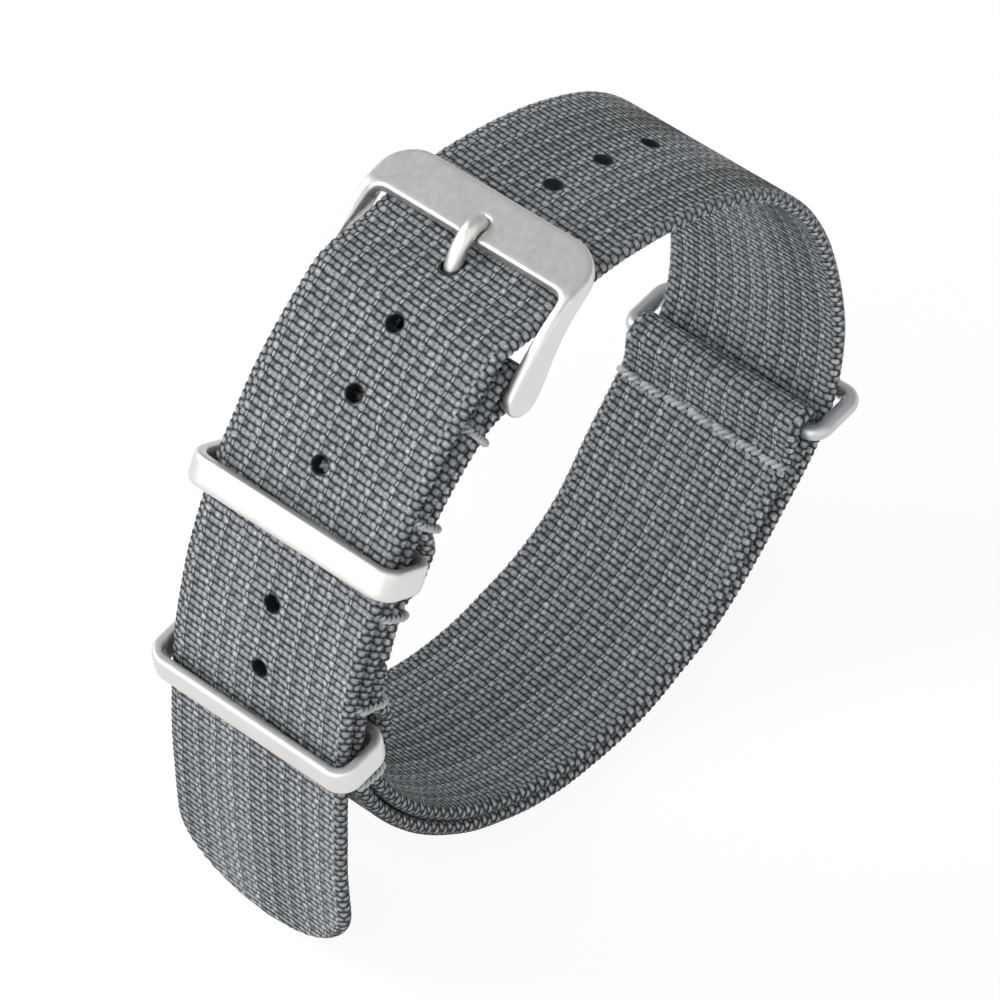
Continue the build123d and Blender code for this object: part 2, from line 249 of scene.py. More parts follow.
room = bpy.data.worlds.new("room")
bpy.context.scene.world = room
room.use_nodes = True
tree = room.node_tree
steepness = split(tree, add(tree, "ShaderNodeTexCoord").outputs["Generated"])["Z"]
light = spread(tree, steepness, 0.0, 0.85, WALL_LIGHT, CEILING_LIGHT)
low = spread(tree, steepness, WHITE_UP_TO, WHITE_ENDS, 1.0, 0.0)
white = add(tree, "ShaderNodeMix", data_type="FLOAT")
tree.links.new(times(tree, background_rays(tree), low), white.inputs[0])
tree.links.new(light, white.inputs[2])
white.inputs[3].default_value = 1.0
tree.links.new(white.outputs[0], tree.nodes["Background"].inputs["Strength"])
tree.nodes["Background"].inputs["Color"].default_value = (1, 1, 1, 1)

# %% [markdown]
# ## The strap's course
# Seen edge on, the whole strap is one line. It starts at the end that is folded round the buckle's
# bar, goes over the bar, round the wrist, through the buckle, through both keepers and down to the
# tip. Cloth like this could be bent with a curve modifier, but a modifier would squeeze the weave
# at each bend. Here the line is kept as plain points with their distances, so that the weave can be
# laid along it by true length.

# %% A course
class Course:
    """The middle of a layer of webbing, seen edge on, in mm: x and z, measured by length."""

    def __init__(self, points):
        self.points = np.asarray(points, float)
        steps = np.linalg.norm(np.diff(self.points, axis=0), axis=1)
        self.marks = np.concatenate([[0], np.cumsum(steps)])
        self.length = self.marks[-1]
        ahead = np.vstack([self.points[1:], self.points[-1:]])
        behind = np.vstack([self.points[:1], self.points[:-1]])
        self.headings = ahead - behind

    def between(self, values, places):
        """Values that were given at the points, at places along the course."""
        return np.column_stack([np.interp(places, self.marks, column) for column in values.T])

    def heading(self, places):
        """Which way the course runs."""
        along = self.between(self.headings, places)
        return along / np.linalg.norm(along, axis=1)[:, None]

    def outward(self, places):
        """Away from the wrist, square to the course."""
        along = self.heading(places)
        return np.column_stack([along[:, 1], -along[:, 0]])

    def beside(self, places, aside=0.0):
        """Points beside the course, outward if aside is above 0."""
        places = np.atleast_1d(np.asarray(places, float))
        aside = np.broadcast_to(aside, places.shape)
        return self.between(self.points, places) + self.outward(places) * aside[:, None]


# %% [markdown]
# A batten bent through a few nails gives the smoothest line between them. The sum below finds how
# much it bends at each nail: it is the classic natural cubic spline.

# %% A springy line
def smooth_line(points, count):
    """A line of count points through a few points, as a thin batten would take it."""
    points = np.asarray(points, float)
    gaps = np.linalg.norm(np.diff(points, axis=0), axis=1)
    knots = np.concatenate([[0], np.cumsum(gaps)])
    size = len(points)
    terms, known = np.eye(size), np.zeros((size, 2))
    for i in range(1, size - 1):
        terms[i, i - 1:i + 2] = gaps[i - 1], 2 * (gaps[i - 1] + gaps[i]), gaps[i]
        after = (points[i + 1] - points[i]) / gaps[i]
        known[i] = 6 * (after - (points[i] - points[i - 1]) / gaps[i - 1])
    bend = np.linalg.solve(terms, known)
    spots = np.linspace(0, knots[-1], count)
    i = np.clip(np.searchsorted(knots, spots, side="right") - 1, 0, size - 2)
    gap = gaps[i][:, None]
    right = (spots - knots[i])[:, None] / gap
    left = 1 - right
    return (
        left * points[i] + right * points[i + 1]
        + gap**2 / 6 * ((left**3 - left) * bend[i] + (right**3 - right) * bend[i + 1])
    )


# %% [markdown]
# The loop's shape is given by twenty points: most as shares of its width and height, and the two
# over the buckle by the buckle's height. All sizes in this lesson repeat the ones that the solid
# parts were made with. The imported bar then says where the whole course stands.

# %% The loop round the wrist
STRAP_WIDTH, WEBBING = 20.0, 1.3
HALF_WIDTH, HALF_WEB = STRAP_WIDTH / 2, WEBBING / 2
LAYER_GAP, TAIL_GAP = 0.2, 0.42
LAYER_STEP = WEBBING + LAYER_GAP
TAIL_STEP = WEBBING + TAIL_GAP
BAR_RADIUS, BAR_PLAY = 0.75, 0.05
FOLD_RADIUS = BAR_RADIUS + BAR_PLAY + HALF_WEB
FOLD_END, FOLD_NECK = 27.2, 4.6
LOOP_SIZE = (64.4, 60.7)
LOOP_SHARES = [
    (-0.210, 0.433), (-0.357, 0.307), (-0.449, 0.142), (-0.492, -0.020),
    (-0.495, -0.111), (-0.442, -0.243), (-0.333, -0.373), (-0.187, -0.464),
    (-0.022, -0.500), (0.138, -0.478), (0.284, -0.396), (0.403, -0.277),
    (0.478, -0.174), (0.502, -0.045), (0.478, 0.118), (0.416, 0.273),
    (0.301, 0.399), (0.154, 0.467),
]
OVER_BUCKLE_SHARES = [(1.798, 0.565), (0.626, 0.472)]
BUCKLE_UP = 7.2
stands = np.array(LOOP_SHARES) * LOOP_SIZE
stands = np.vstack([stands, stands[0] + np.array(OVER_BUCKLE_SHARES) * BUCKLE_UP])
loop = Course(smooth_line(stands, 1200))
bar_stands = np.array([bar_middle.x, bar_middle.z]) / MM
loop = Course(loop.points + bar_stands - loop.beside(0, -FOLD_RADIUS)[0])
bar_axis = loop.beside(0, -FOLD_RADIUS)[0]
print(f"loop {loop.length:.2f} mm long, bar at {bar_axis.round(3)}")

# %% [markdown]
# ## Layers beside the loop
# The layers next to the wrist run beside the main strap. Between rows of stitches they step aside
# round the keepers' inner bars, which makes the pockets that hold the keepers, and the short strap
# makes room for its own folded end and for the ring's bar.

# %% Where each layer runs
KEEPER_THICKNESS, KEEPER_WIDTH = 1.15, 2.9
KEEPER_INNER_GAP, KEEPER_OUTER_GAP, KEEPER_SIDE_GAP = 0.5, 0.7, 0.45
KEEPER_PLACES = {"upper_keeper": (18.0, 4.0), "lower_keeper": (36.0, 14.0)}
KEEPER_BAR_ASIDE = -(HALF_WEB + KEEPER_INNER_GAP + KEEPER_THICKNESS / 2)
POCKET_FLAT, POCKET_SLOPE = 1.2, 3.0
RING_PLACE, RING_RADIUS, RING_FOLD_GAP = 119.3, 0.825, 0.2
RING_FOLD_RADIUS = RING_RADIUS + BAR_PLAY + HALF_WEB
RING_BAR_ASIDE = -(HALF_WEB + RING_FOLD_GAP + WEBBING + BAR_PLAY + RING_RADIUS)
RING_NECK, RING_FOLD_LENGTH, RING_EASE = 4.0, 7.0, 14.0
COURSE_STEP = 0.25


def ease(share):
    """From 0 to 1 without a corner at either end."""
    share = np.clip(share, 0, 1)
    return share * share * (3 - 2 * share)


def inner_layer_aside(places):
    """The layer next to the main strap: the folded end, and the short strap beyond it."""
    aside = -LAYER_STEP - (2 * FOLD_RADIUS - LAYER_STEP) * (1 - ease(places / FOLD_NECK))
    for place, _ in KEEPER_PLACES.values():
        off = np.abs(places - place) - POCKET_FLAT
        aside = aside + (2 * KEEPER_BAR_ASIDE + LAYER_STEP) * (1 - ease(off / POCKET_SLOPE))
    return aside


def short_strap_aside(places):
    """The short strap up to the ring, over its own folded end."""
    back = RING_PLACE - places
    over_end = 1 - ease((back - RING_FOLD_LENGTH) / RING_EASE)
    over_bar = 1 - ease(back / RING_NECK)
    last = RING_BAR_ASIDE - RING_FOLD_RADIUS
    room = (last + 2 * LAYER_STEP) * over_bar
    return inner_layer_aside(places) - LAYER_STEP * over_end + room


def ring_return_aside(places):
    """The short strap's folded end, back from the ring."""
    over_bar = 1 - ease((RING_PLACE - places) / RING_NECK)
    return -LAYER_STEP + (RING_BAR_ASIDE + RING_FOLD_RADIUS + LAYER_STEP) * over_bar


def layer(aside_at, start, end):
    """Points of a layer between two places along the loop."""
    stops = np.linspace(start, end, max(2, round(abs(end - start) / COURSE_STEP)) + 1)
    return loop.beside(stops, aside_at(stops))


def half_turn(centre, start_side, apex, radius):
    """Points of a fold round a bar."""
    turns = np.linspace(0, pi, 22)[1:-1, None]
    return centre + (np.cos(turns) * start_side + np.sin(turns) * apex) * radius


# %% [markdown]
# The main strap's line joins four runs: the folded end, half a turn round the bar, the loop, and
# the tail. The tail stands up a little behind the buckle, comes down to the upper keeper, leaves
# the loop below the lower keeper and curls gently away.

# %% The two straps' lines
HOLE_PITCH, HOLES_AHEAD = 6.6, 0.35
HOLES_TO_TIP, HOLES_TO_LOOP = 6, 4
LAST_HOLE_TO_TIP, TIP_DEPTH = 31.8, 7.5
TONGUE_HOLE_BACK = 1.05
TAIL_RISE, TAIL_RISE_REACH = 1.2, 15.0
TAIL_LEAVES, TAIL_BEND = 35.5, 115.0
CUT_GAP = 0.6

bar_out, bar_down = loop.outward([0])[0], loop.heading([0])[0]
stops = np.linspace(0, TAIL_LEAVES, round(TAIL_LEAVES / COURSE_STEP) + 1)
tail = loop.beside(stops, TAIL_STEP + TAIL_RISE * (1 - ease(stops / TAIL_RISE_REACH)))
hop = np.linalg.norm(tail[0] - loop.points[-1]) / 3
end_heading = loop.heading([loop.length])[0]
handles = [loop.points[-1], loop.points[-1] + end_heading * hop, tail[0] - bar_down * hop, tail[0]]
share = np.linspace(0, 1, 26)[1:-1, None]
bridge = sum(
    times * (1 - share) ** (3 - power) * share**power * handle
    for power, (times, handle) in enumerate(zip((1, 3, 3, 1), handles))
)
held = Course(np.vstack([loop.points, bridge, tail]))
free_length = loop.length + HOLE_PITCH * HOLES_TO_TIP + LAST_HOLE_TO_TIP - held.length
out = held.outward([held.length])[0]
down = held.heading([held.length])[0]
turns = np.linspace(0, free_length / TAIL_BEND, 220)[1:, None]
free = tail[-1] - out * TAIL_BEND + (np.cos(turns) * out + np.sin(turns) * down) * TAIL_BEND
outer_run = np.vstack([loop.points, bridge, tail, free])
folded_run = layer(inner_layer_aside, 0, FOLD_END)[::-1]
round_bar = half_turn(bar_axis, -bar_out, -bar_down, FOLD_RADIUS)
main_course = Course(np.vstack([folded_run[:-1], round_bar, outer_run]))
first_hole = main_course.length - Course(outer_run).length + loop.length + HOLES_AHEAD

ring_out, ring_along = loop.outward([RING_PLACE])[0], loop.heading([RING_PLACE])[0]
ring_axis = loop.beside(RING_PLACE, RING_BAR_ASIDE)[0]
short_course = Course(np.vstack([
    layer(short_strap_aside, FOLD_END + CUT_GAP, RING_PLACE),
    half_turn(ring_axis, -ring_out, ring_along, RING_FOLD_RADIUS),
    layer(ring_return_aside, RING_PLACE - RING_FOLD_LENGTH, RING_PLACE)[::-1],
]))
print(f"main strap {main_course.length:.2f} mm, short strap {short_course.length:.2f} mm")

# %% [markdown]
# ## Cloth from a course
# A webbing is a flat woven tube of threads with a bound edge, the selvage. Its cross-section is
# two flat faces joined by a half round selvage at each side, and it is carried along the course.

# %% The webbing's section
ROW = 0.7
SELVAGE = 0.75
FLAT_COLUMNS, TURN_COLUMNS = 27, 7


def webbing_section():
    """Columns round the cloth: across, aside, their push direction, and whether on a selvage."""
    flat = np.linspace(-HALF_WIDTH + SELVAGE, HALF_WIDTH - SELVAGE, FLAT_COLUMNS)
    turn = np.linspace(0, pi, TURN_COLUMNS + 2)[1:-1]
    columns = [(y, HALF_WEB, 0, 1, 0) for y in flat]
    for a in turn:
        across = HALF_WIDTH - SELVAGE + SELVAGE * sin(a)
        columns.append((across, HALF_WEB * cos(a), sin(a), cos(a), 1))
    columns += [(y, -HALF_WEB, 0, -1, 0) for y in flat[::-1]]
    for a in turn:
        across = -(HALF_WIDTH - SELVAGE) - SELVAGE * sin(a)
        columns.append((across, -HALF_WEB * cos(a), -sin(a), -cos(a), 1))
    return np.array(columns)


def round_lengths(section):
    """Length so far round the section, from its first column and back to it."""
    closed = np.vstack([section[:, :2], section[:1, :2]])
    return np.concatenate([[0], np.cumsum(np.hypot(*np.diff(closed, axis=0).T))])


# %% [markdown]
# Four stations to each woven row are fine enough to model the rows' ribs and the selvages' beads, so
# that they also show on the outline. In a bend the outer face is longer than the inner one, so the
# stations there are closer.

# %% Stations along the cloth
STATIONS_PER_ROW = 4
LOOK_STEP = 0.05


def run_lengths(lines):
    """Length so far along each of several lines, given as stations by lines by two."""
    steps = np.linalg.norm(np.diff(lines, axis=0), axis=-1)
    return np.vstack([np.zeros((1, lines.shape[1])), np.cumsum(steps, axis=0)])


def close_stations(course):
    """Stations so close that neither face of a bend is coarser than a quarter of a row."""
    fine = np.linspace(0, course.length, round(course.length / LOOK_STEP))
    faces = np.stack([course.beside(fine, side * HALF_WEB) for side in (-1, 0, 1)], 1)
    longest = np.cumsum(np.append(0, np.diff(run_lengths(faces), axis=0).max(1)))
    evenly = np.linspace(0, longest[-1], round(longest[-1] / (ROW / STATIONS_PER_ROW)))
    return np.interp(evenly, longest, fine)


# %% [markdown]
# Each row stands up as a rib on the faces and as a bead on the selvages. On the faces the rows are
# counted along that face's own length, so that no bend stretches the weave. On the selvages, which
# join the two faces, they are counted along the middle. The edges wander a little, as on any loom.

# %% Ribs and beads
RIB_HEIGHT, BEAD_HEIGHT = 0.07, 0.16
RIB_ROUND, RIB_LEVEL = 0.7, 0.6
EDGE_WANDER = 0.05
dice = np.random.default_rng(7)


def waver(count, reach):
    """A slow random wander, for the edges."""
    knots = dice.normal(0, reach, max(4, count // 24))
    return np.interp(np.linspace(0, len(knots) - 1, count), np.arange(len(knots)), knots)


def woven_surface(course, stations, section, squeeze):
    """The cloth's points in mm, by station and column, and the woven length at each of them."""
    across, aside, push_y, push_out, selvage = section.T
    middle, out = course.beside(stations), course.outward(stations)
    faces = middle[:, None] + out[:, None] * aside[None, :, None]
    woven_length = np.where(selvage, stations[:, None], run_lengths(faces))
    row = np.abs(np.sin(pi * woven_length / ROW)) ** RIB_ROUND
    relief = np.where(selvage, BEAD_HEIGHT, RIB_HEIGHT) * (row - RIB_LEVEL)
    wander = np.column_stack([waver(len(stations), EDGE_WANDER) for _ in range(2)])
    y = across * squeeze[:, None] + push_y * relief
    y += np.where(across > 0, wander[:, :1], wander[:, 1:]) * (np.abs(across) / HALF_WIDTH)
    off = aside + push_out * relief
    x = middle[:, :1] + out[:, :1] * off
    z = middle[:, 1:] + out[:, 1:] * off
    return np.stack([x, y, z], -1), woven_length


# %% [markdown]
# Each corner of each face keeps two flat addresses in its UV maps, in tens of centimetres: where it
# is in the weave, and where it is on the strap. The weave's own width address goes on round the
# section, past each selvage. Where the tip narrows, the address narrows with it, so that the tip
# looks cut and not pinched.

# %% Addresses in the weave
UV_UNIT = 100


def weave_addresses(stations, section, woven_length, squeeze, rows, columns):
    """Length and width in the weave of each face's four corners, given by station and column."""
    round_trip = round_lengths(section)
    width = round_trip[columns]
    last = columns.max(1) - columns.min(1) > 1
    width[last] = np.where(columns[last] == 0, round_trip[-1], width[last])
    back_column = FLAT_COLUMNS + TURN_COLUMNS
    centre = np.where(columns >= back_column, round_trip[back_column], 0)
    centre = centre + HALF_WIDTH - SELVAGE
    width = centre + (width - centre) * squeeze[rows]
    selvage = section[:, 4]
    on_edge = (selvage[columns[:, :1]] + selvage[columns[:, 1:2]]) > 0
    length = np.where(on_edge, stations[rows], woven_length[rows, columns])
    return np.stack([length, width], -1).reshape(-1, 2)


def add_uv_map(mesh, name, places):
    """A UV map from places in mm. The two end faces, which come last, have none."""
    spare = np.zeros((len(mesh.loops) - len(places), 2))
    uv_map = mesh.uv_layers.new(name=name)
    uv_map.uv.foreach_set("vector", (np.vstack([places, spare]) / UV_UNIT).ravel())


# %% [markdown]
# Now the points and the addresses become one closed mesh for each strap.

# %% A strip of webbing
def new_piece(name, points, faces):
    """An object in the scene, from points in metres."""
    mesh = bpy.data.meshes.new(name)
    mesh.from_pydata(points, [], faces)
    piece = bpy.data.objects.new(name, mesh)
    bpy.context.scene.collection.objects.link(piece)
    return piece


def weave_cloth(name, course, half_width_at=None):
    """A closed strip of webbing along a course."""
    section = webbing_section()
    stations = close_stations(course)
    reach = half_width_at(stations) if half_width_at else np.full(len(stations), HALF_WIDTH)
    squeeze = reach / HALF_WIDTH
    points, woven_length = woven_surface(course, stations, section, squeeze)
    count, around = len(stations), len(section)
    i, j = np.meshgrid(np.arange(count - 1), np.arange(around), indexing="ij")
    beyond = (j + 1) % around
    rows = np.stack([i, i, i + 1, i + 1], -1).reshape(-1, 4)
    columns = np.stack([j, beyond, beyond, j], -1).reshape(-1, 4)
    ends = [tuple(range(around))[::-1], tuple((count - 1) * around + k for k in range(around))]
    cloth = new_piece(name, points.reshape(-1, 3) * MM, [*map(tuple, rows * around + columns), *ends])
    add_uv_map(cloth.data, "weave",
               weave_addresses(stations, section, woven_length, squeeze, rows, columns))
    on_strap = np.stack([stations[rows], points[rows, columns, 1]], -1)
    add_uv_map(cloth.data, "strap_place", on_strap.reshape(-1, 2))
    cloth.data.shade_smooth()
    print(f"{name}: {len(cloth.data.polygons)} faces, {count} stations")
    return cloth


# %% [markdown]
# ## The weave itself
# Close up, each row is a line of small pillows of thread, some long and some short, and the next row
# is set off sideways. Two rows make the pattern, and it repeats every two millimetres across. A
# printed picture would blur at the bends, so each pillow is drawn by sums: how far a spot is from
# the nearest pillow's middle, in pillow lengths and widths.

# %% One kind of pillow
PATTERN_ACROSS, PATTERN_ALONG = 2.0, 2 * ROW
PILLOW_ROUND = 2.4
PILLOW_INPUTS = ("Along", "Across", "Row middle", "Middle", "Half length", "Half width", "Top")


def make_pillow():
    """A node group that gives one pillow's height at a spot, again and again in the pattern."""
    tree = bpy.data.node_groups.new("thread_pillow", "ShaderNodeTree")
    for name in PILLOW_INPUTS:
        tree.interface.new_socket(name, in_out="INPUT", socket_type="NodeSocketFloat")
    tree.interface.new_socket("Height", in_out="OUTPUT", socket_type="NodeSocketFloat")
    given, result = add(tree, "NodeGroupInput").outputs, add(tree, "NodeGroupOutput")

    def away(spot, middle, pitch, half):
        turns = maths(tree, "DIVIDE", maths(tree, "SUBTRACT", spot, middle), pitch)
        off = maths(tree, "SUBTRACT", maths(tree, "FRACT", maths(tree, "ADD", turns, 0.5)), 0.5)
        share = maths(tree, "DIVIDE", times(tree, off, pitch), half)
        return maths(tree, "POWER", maths(tree, "ABSOLUTE", share), PILLOW_ROUND)

    far = maths(
        tree, "ADD",
        away(given["Along"], given["Row middle"], PATTERN_ALONG, given["Half length"]),
        away(given["Across"], given["Middle"], PATTERN_ACROSS, given["Half width"]),
    )
    left = maths(tree, "SUBTRACT", 1.0, far, clamp=True)
    tree.links.new(times(tree, left, given["Top"]), result.inputs[0])
    return tree


pillow = make_pillow()

# %% [markdown]
# The pillows of the pattern are laid over each other, and the highest one shows. The first is a
# thread that crosses its row, painted brighter as a highlight, and three pillows fill the row beside
# it. The next row has a big pillow, a low one and a flat one, with a recess after them, painted dark
# as shade. On the selvages the rows end in beads, set off sideways from one row to the next.

# %% The pattern
PILLOWS = [
    # row's middle, middle across, half length, half width, top
    (0.35, 0.10, 0.31, 0.11, 1.25),
    (0.35, 1.60, 0.36, 0.43, 0.76),
    (0.36, 1.08, 0.35, 0.40, 0.84),
    (0.35, 0.54, 0.36, 0.38, 0.90),
    (1.05, 0.27, 0.40, 0.41, 1.05),
    (1.04, 1.74, 0.28, 0.32, 0.45),
    (1.08, 1.06, 0.32, 0.50, 0.86),
]
BEADS = [
    (0.35, 0.50, 0.36, 0.55, 1.05),
    (0.35, 1.55, 0.36, 0.50, 0.90),
    (1.05, 1.05, 0.36, 0.55, 1.00),
    (1.05, 0.00, 0.36, 0.50, 0.90),
]
around = round_lengths(webbing_section())
EDGE_BANDS = [(around[k - 1], around[k + TURN_COLUMNS])
              for k in (FLAT_COLUMNS, 2 * FLAT_COLUMNS + TURN_COLUMNS)]
BAND_BLUR = 0.1


def highest(tree, shapes, along, across):
    """The highest of several pillows at a spot, and the first one by itself."""
    tops = []
    for shape in shapes:
        one = add(tree, "ShaderNodeGroup", node_tree=pillow)
        for socket, value in zip(one.inputs, (along, across, *shape)):
            feed(tree, socket, value)
        tops.append(one.outputs[0])
    height = tops[0]
    for one in tops[1:]:
        height = maths(tree, "MAXIMUM", height, one)
    return height, tops[0]


def thread_heights(tree, spot, along, across):
    """Pillows on the faces, beads on the selvages, and the crossing threads by themselves, for their
    painted highlight.
    """
    height, painted_glint = highest(tree, PILLOWS, along, across)
    width_place = split(tree, spot)["Y"]
    on_edge, round_edge = 0, 0
    for start, end in EDGE_BANDS:
        rise = spread(tree, width_place, start - BAND_BLUR, start)
        band = times(tree, rise, spread(tree, width_place, end, end + BAND_BLUR, 1.0, 0.0))
        on_edge = maths(tree, "ADD", on_edge, band)
        past = times(tree, band, maths(tree, "SUBTRACT", width_place, start))
        round_edge = maths(tree, "ADD", round_edge, past)
    beads, _ = highest(tree, BEADS, along, round_edge)
    on_face = times(tree, height, maths(tree, "SUBTRACT", 1.0, on_edge))
    return maths(tree, "ADD", times(tree, beads, on_edge), on_face), painted_glint


# %% [markdown]
# The threads never lie quite straight, so the weave's addresses are first shifted by a slow wander,
# and the rows lean a little. Round each punched hole the nylon is melted flat: the distance to the
# nearest hole comes from the strap's own addresses.

# %% Where a spot is in the weave, and how near to a hole
ROW_SKEW = 0.06
WANDER, WANDER_SCALE = (0.22, 0.5, 0), 0.9
SEEN_HOLE = 1.6
RIM_START, RIM_END = 0.02, 0.2


def uv_place(tree, name):
    """A UV map's address, back in mm."""
    node = add(tree, "ShaderNodeVectorMath", operation="SCALE")
    tree.links.new(add(tree, "ShaderNodeUVMap", uv_map=name).outputs[0], node.inputs[0])
    node.inputs["Scale"].default_value = UV_UNIT
    return node.outputs[0]


def wandering(tree, spot):
    """Length and width in the weave, with the threads' wander."""
    wander = add(tree, "ShaderNodeTexNoise")
    tree.links.new(spot, wander.inputs["Vector"])
    wander.inputs["Scale"].default_value = WANDER_SCALE
    wander.inputs["Detail"].default_value = 2
    shift = add(tree, "ShaderNodeVectorMath", operation="MULTIPLY_ADD")
    tree.links.new(wander.outputs["Color"], shift.inputs[0])
    shift.inputs[1].default_value = WANDER
    tree.links.new(spot, shift.inputs[2])
    shifted = split(tree, shift.outputs[0])
    across = shifted["Y"]
    return maths(tree, "MULTIPLY_ADD", across, ROW_SKEW, shifted["X"]), across


def melted_rim(tree):
    """1 at a hole's edge, 0 away from it."""
    place = split(tree, uv_place(tree, "strap_place"))
    from_tongue = maths(tree, "SUBTRACT", place["X"], first_hole)
    number = maths(tree, "ROUND", maths(tree, "DIVIDE", from_tongue, HOLE_PITCH))
    number = maths(tree, "MINIMUM", maths(tree, "MAXIMUM", number, -HOLES_TO_LOOP), HOLES_TO_TIP)
    off = maths(tree, "SUBTRACT", from_tongue, times(tree, number, HOLE_PITCH))
    squares = [maths(tree, "POWER", maths(tree, "ABSOLUTE", way), 2) for way in (off, place["Y"])]
    from_hole = maths(tree, "SQRT", maths(tree, "ADD", *squares))
    return spread(tree, from_hole, SEEN_HOLE / 2 + RIM_START, SEEN_HOLE / 2 + RIM_END, 1.0, 0.0)


# %% [markdown]
# Now the finish is put together. Fine filaments run across every pillow. The threads are grey, and
# the colour carries painted shade: the gaps between the pillows are painted dark, where light hardly
# reaches, and the pillows' tops are painted pale as highlight. Painted highlights make the filaments
# and the crossing threads paler. Real nylon varies a little along the strap, so slow patches do too.

# %% The webbing's finish
WEAVE_DEPTH = 0.45
WEBBING_GREYS_AND_PAINTED_SHADE = [
    (0.00, (0.034, 0.037, 0.040)),
    (0.12, (0.090, 0.097, 0.103)),
    (0.45, (0.255, 0.272, 0.288)),
    (0.80, (0.440, 0.468, 0.490)),
    (1.00, (0.72, 0.75, 0.77)),
]


def webbing_finish():
    """Grey nylon webbing, with painted shade in its gaps and painted highlights."""
    cloth, tree, shader = finish("grey_webbing", Sheen_Weight=0.06, Sheen_Roughness=0.5)
    spot = uv_place(tree, "weave")
    along, across = wandering(tree, spot)
    height, painted_glint = thread_heights(tree, spot, along, across)
    uncut = maths(tree, "SUBTRACT", 1.0, melted_rim(tree))

    stripes = add(tree, "ShaderNodeCombineXYZ")
    tree.links.new(times(tree, along, 11.0), stripes.inputs[0])
    tree.links.new(times(tree, across, 2.2), stripes.inputs[1])
    filament_and_painted_highlight = mottle(tree, stripes.outputs[0], 1.0, 3.0, 0.65)
    fine = times(tree, maths(tree, "SUBTRACT", filament_and_painted_highlight, 0.5), 0.8)
    relief = maths(tree, "MULTIPLY_ADD", fine, height, maths(tree, "POWER", height, 0.7))
    bumped(tree, shader, times(tree, relief, uncut), WEAVE_DEPTH * MM)

    patches = mottle(tree, spot, 0.35, 3.0)
    streaks = mottle(tree, spot, 2.2, 1.0)
    # Painted shade and highlight: the colour level follows the pillows' height, so the gaps are
    # painted dark and the tops pale.
    level = times(tree, height, spread(tree, streaks, 0.25, 0.75, 0.82, 1.1))
    # The filaments' brighter streaks are painted highlights; the same noise also gives them real
    # relief.
    level = times(tree, level, spread(tree, filament_and_painted_highlight, 0.35, 0.65, 0.6, 1.2))
    level = times(tree, level, uncut)
    level = times(tree, level, spread(tree, patches, 0.3, 0.7, 0.92, 1.04))
    # A painted highlight on the crossing threads.
    level = maths(tree, "MULTIPLY_ADD", painted_glint, 0.5, level)
    # The ramp gives grey thread with painted shade at its dark end; the specular level drops in the
    # painted gaps too.
    tree.links.new(tint(tree, level, WEBBING_GREYS_AND_PAINTED_SHADE), shader.inputs["Base Color"])
    tree.links.new(spread(tree, level, 0.1, 0.8, 0.05, 0.5), shader.inputs["Specular IOR Level"])
    tree.links.new(spread(tree, level, 0.0, 1.0, 0.85, 0.45), shader.inputs["Roughness"])
    return cloth


grey_webbing = webbing_finish()

# %% [markdown]
# ## The main strap
# Its tip is cut round, so the stations near the tip are narrower.

# %% Main strap, cut to length
def tip_width(stations):
    """Half the strap's width at each station."""
    into_tip = np.clip(stations - (main_course.length - TIP_DEPTH), 0, TIP_DEPTH) / TIP_DEPTH
    return HALF_WIDTH * np.maximum(np.sqrt(1 - into_tip**2), 0.03)


main_strap = weave_cloth("main_strap_cloth", main_course, tip_width)
main_strap.data.materials.append(grey_webbing)

# %% [markdown]
# The holes are punched with a tube, and the tongue has pulled its own hole long and slanted. It hugs
# the tongue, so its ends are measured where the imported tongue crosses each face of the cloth. The
# folded end also has an opening round the bar, where the tongue's knuckle stands.

# %% The punches
TONGUE_HOLE_SIDE, TONGUE_ROOM, TONGUE_REACH = 1.12, 0.24, 5
PUNCH_PAST, SLOT_PAST = 0.2, 0.1
KNUCKLE_SLOT_HALF = 1.3
PUNCH_TURNS = np.arange(24) * pi / 12
CORNERS = len(PUNCH_TURNS)


def tongue_span(middle, along, out, side):
    """Where the tongue starts and ends in one face of the cloth, with room to lift."""
    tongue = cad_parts["buckle_tongue"]
    spots = np.array([tongue.matrix_world @ v.co for v in tongue.data.vertices])
    spots = spots[:, [0, 2]] / MM - middle
    edges = np.array([edge.vertices for edge in tongue.data.edges])
    level = side * HALF_WEB
    a, b = spots[edges[:, 0]], spots[edges[:, 1]]
    above, below = a @ out - level, b @ out - level
    crossing = (above * below < 0) & (np.abs(a @ along) < TONGUE_REACH)
    share = (above[crossing] / (above - below)[crossing])[:, None]
    reached = (a[crossing] * (1 - share) + b[crossing] * share) @ along
    print(f"tongue crosses side {side} from {reached.min():.2f} to {reached.max():.2f} mm")
    return reached.min() - TONGUE_ROOM, reached.max() + TONGUE_ROOM


def hole_outline(span):
    """A round hole, or one as long as its span."""
    for a in PUNCH_TURNS:
        u, v = cos(a) * SEEN_HOLE / 2, sin(a) * SEEN_HOLE / 2
        if span:
            u += span[1] - SEEN_HOLE / 2 if u > 0 else span[0] + SEEN_HOLE / 2
            v *= TONGUE_HOLE_SIDE
        yield u, v


def hole_punch(number):
    """Both end rings of one hole's punch, in mm. Number 0 is the tongue's hole."""
    place = [first_hole + number * HOLE_PITCH - (0 if number else TONGUE_HOLE_BACK)]
    middle, out = main_course.beside(place)[0], main_course.outward(place)[0]
    along = main_course.heading(place)[0]
    for side in (-1, 1):
        lift = out * side * (HALF_WEB + PUNCH_PAST)
        span = None if number else tongue_span(middle, along, out, side)
        for u, v in hole_outline(span):
            spot = middle + lift + along * u
            yield spot[0], v, spot[1]


